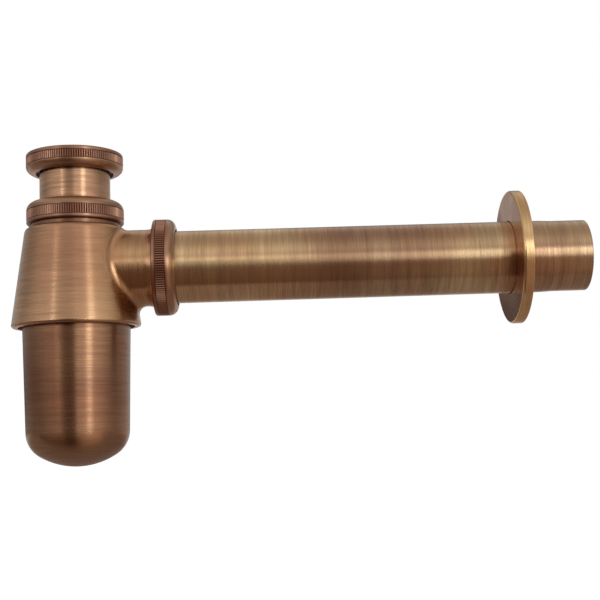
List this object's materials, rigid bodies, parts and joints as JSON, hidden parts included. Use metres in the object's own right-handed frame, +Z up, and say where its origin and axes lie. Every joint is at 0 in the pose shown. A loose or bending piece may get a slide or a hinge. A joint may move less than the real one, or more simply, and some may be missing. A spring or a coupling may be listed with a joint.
{
  "type": "sink trap",
  "caption": "Antique brass bottle trap for a wash basin: conical body with screw-on cup, adjustable dip tube, knurled union nuts, straight outlet tube and wall flange.",
  "frame": {"origin": "centre of the inlet thread's lower end, just above the inlet washer, where the basin waste comes to rest", "axes": "+Z up the inlet's axis, +X along the outlet tube towards the wall"},
  "size_m": [0.2549, 0.0594, 0.1376],
  "materials": {
    "brass": "brushed antique brass, satin",
    "nut_brass": "antique brass with dark patina in the knurl",
    "rubber": "matt black rubber",
    "slip_ring": "dark nylon"
  },
  "bodies": {
    "body": {"trap_body": "brass", "outlet_seal": "rubber"},
    "inlet_ring": {"inlet_slip_ring": "slip_ring"},
    "upper_nut": {"body_nut": "nut_brass"},
    "inlet_grip": {"inlet_seal": "rubber"},
    "dip_tube": {"inlet_tube": "brass", "inlet_washer": "rubber"},
    "waste_nut": {"inlet_nut": "nut_brass"},
    "outlet_ring": {"outlet_slip_ring": "slip_ring"},
    "side_nut": {"outlet_nut": "nut_brass"},
    "tube": {"outlet_tube": "brass"},
    "flange": {"wall_flange": "brass", "wall_flange_ring": "rubber"},
    "cup_ring": {"cup_seal": "rubber"},
    "bowl": {"cup": "brass"}
  },
  "joints": [
    {"name": "body_nut_lift", "type": "slide", "parent": "body", "child": "inlet_ring", "axis": [0, 0, 1], "range_m": [0, 0.00451]},
    {"name": "body_nut_turn", "type": "hinge", "parent": "inlet_ring", "child": "upper_nut", "pos_m": [0, 0, -0.0216], "axis": [0, 0, 1], "range_deg": [0, 1080]},
    {"name": "body_swivel", "type": "hinge", "parent": "body", "child": "inlet_grip", "pos_m": [0, 0, -0.0201], "axis": [0, 0, 1], "continuous": true},
    {"name": "dip_depth", "type": "slide", "parent": "inlet_grip", "child": "dip_tube", "axis": [0, 0, 1], "range_m": [-0.008, 0.025]},
    {"name": "inlet_nut_turn", "type": "hinge", "parent": "dip_tube", "child": "waste_nut", "pos_m": [0, 0, 0], "axis": [0, 0, 1], "continuous": true},
    {"name": "outlet_nut_shift", "type": "slide", "parent": "body", "child": "outlet_ring", "axis": [1, 0, 0], "range_m": [0, 0.00451]},
    {"name": "outlet_nut_turn", "type": "hinge", "parent": "outlet_ring", "child": "side_nut", "pos_m": [0.0397, 0, -0.0467], "axis": [1, 0, 0], "range_deg": [0, 1080]},
    {"name": "outlet_tube_slide", "type": "slide", "parent": "body", "child": "tube", "axis": [1, 0, 0], "range_m": [0, 0.0035]},
    {"name": "flange_slide", "type": "slide", "parent": "tube", "child": "flange", "axis": [1, 0, 0], "range_m": [-0.14, 0.025]},
    {"name": "cup_drop", "type": "slide", "parent": "body", "child": "cup_ring", "axis": [0, 0, -1], "range_m": [0, 0.00751]},
    {"name": "cup_turn", "type": "hinge", "parent": "cup_ring", "child": "bowl", "pos_m": [0, 0, -0.0998], "axis": [0, 0, -1], "range_deg": [0, 1800]}
  ],
  "couplings": [
    {"joint": "body_nut_lift", "follows": "body_nut_turn", "m_per_rad": 0.00023873},
    {"joint": "outlet_nut_shift", "follows": "outlet_nut_turn", "m_per_rad": 0.00023873},
    {"joint": "cup_drop", "follows": "cup_turn", "m_per_rad": 0.00023873}
  ]
}
